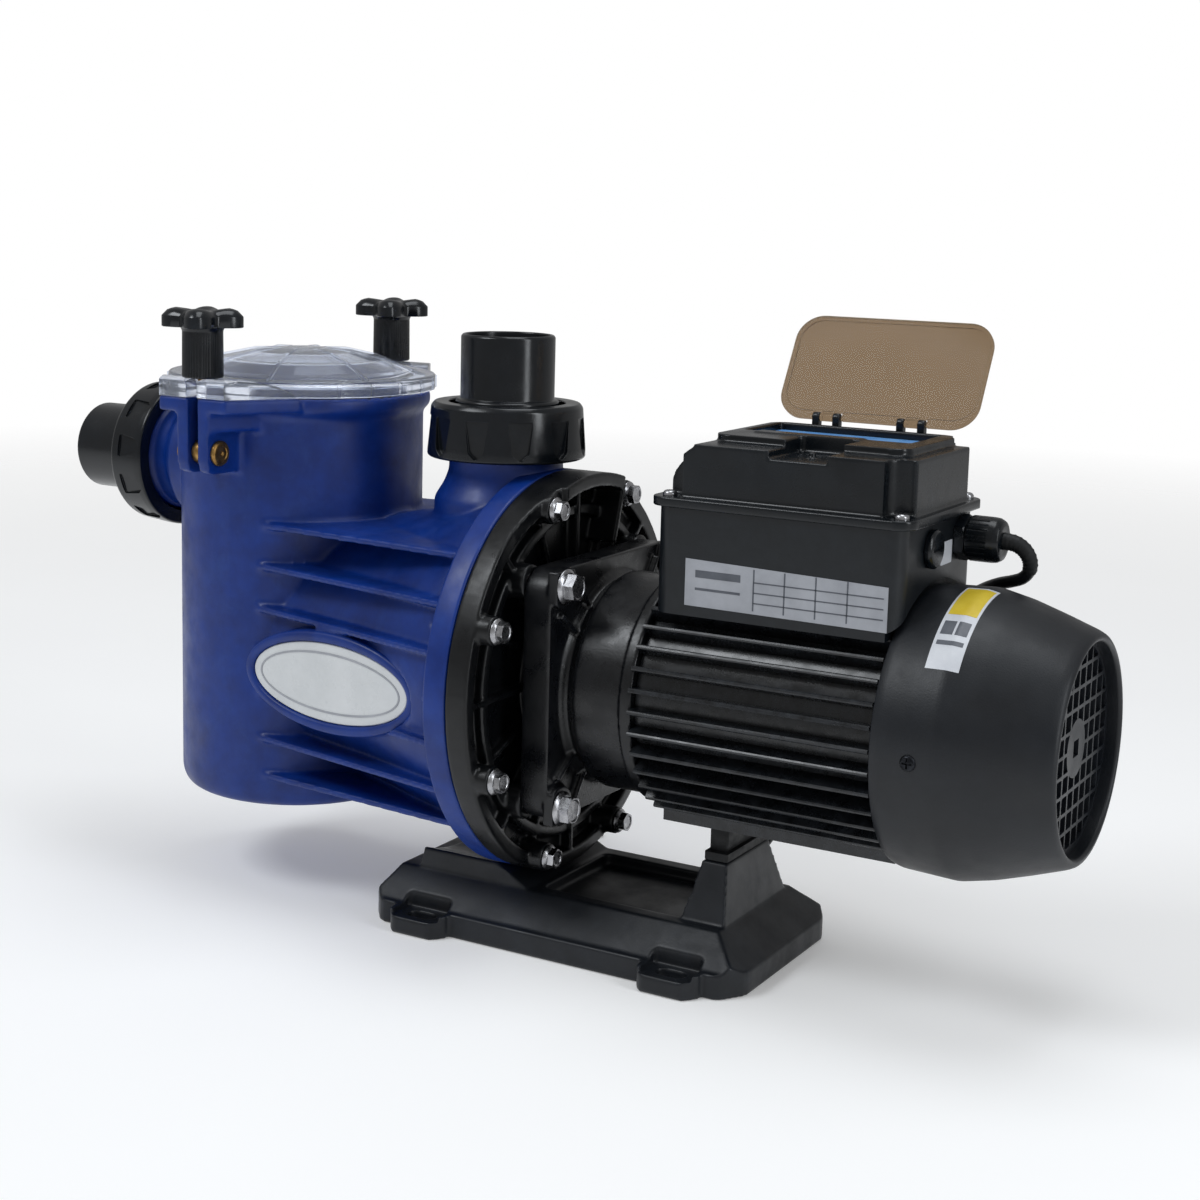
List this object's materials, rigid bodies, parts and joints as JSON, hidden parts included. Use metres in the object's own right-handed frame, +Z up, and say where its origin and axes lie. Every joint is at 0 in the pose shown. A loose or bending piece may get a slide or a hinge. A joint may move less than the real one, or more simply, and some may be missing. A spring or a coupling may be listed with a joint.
{
  "type": "pool pump",
  "caption": "Self-priming pool pump: blue strainer pot under a clear lid, pipe unions, finned motor, fan cover, and a control box with a flip-up smoked lid.",
  "frame": {"origin": "under the middle of the pump, on the surface that the base stands on", "axes": "+X along the shaft from the strainer pot to the fan, +Z up, the discharge union points up"},
  "size_m": [0.6086, 0.3278, 0.3269],
  "materials": {
    "blue_plastic": "satin moulded glass-filled plastic, deep blue",
    "black_plastic": "satin moulded plastic, black",
    "dark_plastic": "plain moulded plastic, dark grey",
    "clear_plastic": "clear moulded polycarbonate, polished",
    "smoked_plastic": "smoke-brown transparent plastic, polished",
    "label_plate": "blank silver-grey plate",
    "grey_plastic": "natural grey moulded plastic",
    "motor_casting": "black satin paint on a metal casting",
    "motor_aluminium": "black satin paint on extruded aluminium",
    "steel": "stainless steel, machined",
    "brass": "plain brass, slightly tarnished",
    "rubber": "matt black rubber",
    "winding": "varnished laminations and winding, drawn as one ring",
    "core": "bare laminated steel",
    "carbon": "dark carbon seal face",
    "seal_ceramic": "white ceramic seal seat",
    "keypad": "printed light-blue film",
    "key_blue": "dark blue key",
    "key_red": "red key"
  },
  "bodies": {
    "pump": {"pump_body": "blue_plastic", "badge_plate": "label_plate", "lid_oring": "rubber", "casing_oring": "rubber", "discharge_tail": "black_plastic", "suction_tail": "black_plastic", "strainer_lid": "clear_plastic", "strainer_basket": "grey_plastic", "hinge_pin_near": "brass", "hinge_pin_far": "brass", "seal_plate": "black_plastic", "casing_bolt_1": "steel", "casing_bolt_2": "steel", "casing_bolt_3": "steel", "casing_bolt_4": "steel", "casing_bolt_5": "steel", "casing_bolt_6": "steel", "casing_bolt_7": "steel", "casing_bolt_8": "steel", "adapter_bolt_1": "steel", "adapter_bolt_2": "steel", "adapter_bolt_3": "steel", "adapter_bolt_4": "steel", "diffuser": "dark_plastic", "seal_seat": "seal_ceramic", "motor_adapter": "motor_casting", "motor_frame": "motor_aluminium", "stator": "winding", "front_bearing": "steel", "rear_bearing": "steel", "rear_end_shield": "motor_casting", "fan_cover": "black_plastic", "terminal_box": "black_plastic", "box_cover": "black_plastic", "control_panel": "keypad", "gland_body": "black_plastic", "gland_nut": "black_plastic", "blanking_plug": "black_plastic", "base": "black_plastic", "motor_pad": "rubber", "power_cord": "rubber", "cord_coil": "rubber", "plug": "rubber"},
    "rotor": {"motor_shaft": "steel", "rotor_core": "core", "impeller": "dark_plastic", "seal_rotating": "carbon", "cooling_fan": "dark_plastic"},
    "lookout_lid": {"timer_lid": "smoked_plastic"},
    "swing_near": {"swing_bolt_near": "brass"},
    "swing_far": {"swing_bolt_far": "brass"},
    "knob_near_body": {"knob_near": "black_plastic"},
    "knob_far_body": {"knob_far": "black_plastic"},
    "suction_nut_body": {"suction_nut": "black_plastic"},
    "discharge_nut_body": {"discharge_nut": "black_plastic"},
    "button_speed_1_body": {"button_speed_1": "key_blue"},
    "button_speed_2_body": {"button_speed_2": "key_blue"},
    "button_speed_3_body": {"button_speed_3": "key_blue"},
    "button_stop_body": {"button_stop": "key_red"}
  },
  "joints": [
    {"name": "shaft_spin", "type": "hinge", "parent": "pump", "child": "rotor", "pos_m": [0, 0, 0.1372], "axis": [1, 0, 0], "continuous": true},
    {"name": "timer_lid_hinge", "type": "hinge", "parent": "pump", "child": "lookout_lid", "pos_m": [0.1675, 0.0526, 0.2766], "axis": [1, 0, 0], "range_deg": [0, 120]},
    {"name": "swing_bolt_near_hinge", "type": "hinge", "parent": "pump", "child": "swing_near", "pos_m": [-0.1551, -0.085, 0.247], "axis": [1, 0, 0], "range_deg": [0, 100]},
    {"name": "swing_bolt_far_hinge", "type": "hinge", "parent": "pump", "child": "swing_far", "pos_m": [-0.1551, 0.085, 0.247], "axis": [-1, 0, 0], "range_deg": [0, 100]},
    {"name": "knob_near_turn", "type": "hinge", "parent": "swing_near", "child": "knob_near_body", "pos_m": [-0.1551, -0.085, 0.3], "axis": [0, 0, 1], "continuous": true},
    {"name": "knob_far_turn", "type": "hinge", "parent": "swing_far", "child": "knob_far_body", "pos_m": [-0.1551, 0.085, 0.3], "axis": [0, 0, 1], "continuous": true},
    {"name": "suction_nut_turn", "type": "hinge", "parent": "pump", "child": "suction_nut_body", "pos_m": [-0.2518, 0, 0.23155], "axis": [1, 0, 0], "continuous": true},
    {"name": "discharge_nut_turn", "type": "hinge", "parent": "pump", "child": "discharge_nut_body", "pos_m": [-0.0189, 0, 0.2627], "axis": [0, 0, 1], "continuous": true},
    {"name": "button_speed_1_press", "type": "slide", "parent": "pump", "child": "button_speed_1_body", "axis": [0, 0, -1], "range_m": [0, 0.0008], "stiffness_N_per_m": 600},
    {"name": "button_speed_2_press", "type": "slide", "parent": "pump", "child": "button_speed_2_body", "axis": [0, 0, -1], "range_m": [0, 0.0008], "stiffness_N_per_m": 600},
    {"name": "button_speed_3_press", "type": "slide", "parent": "pump", "child": "button_speed_3_body", "axis": [0, 0, -1], "range_m": [0, 0.0008], "stiffness_N_per_m": 600},
    {"name": "button_stop_press", "type": "slide", "parent": "pump", "child": "button_stop_body", "axis": [0, 0, -1], "range_m": [0, 0.0008], "stiffness_N_per_m": 600}
  ]
}
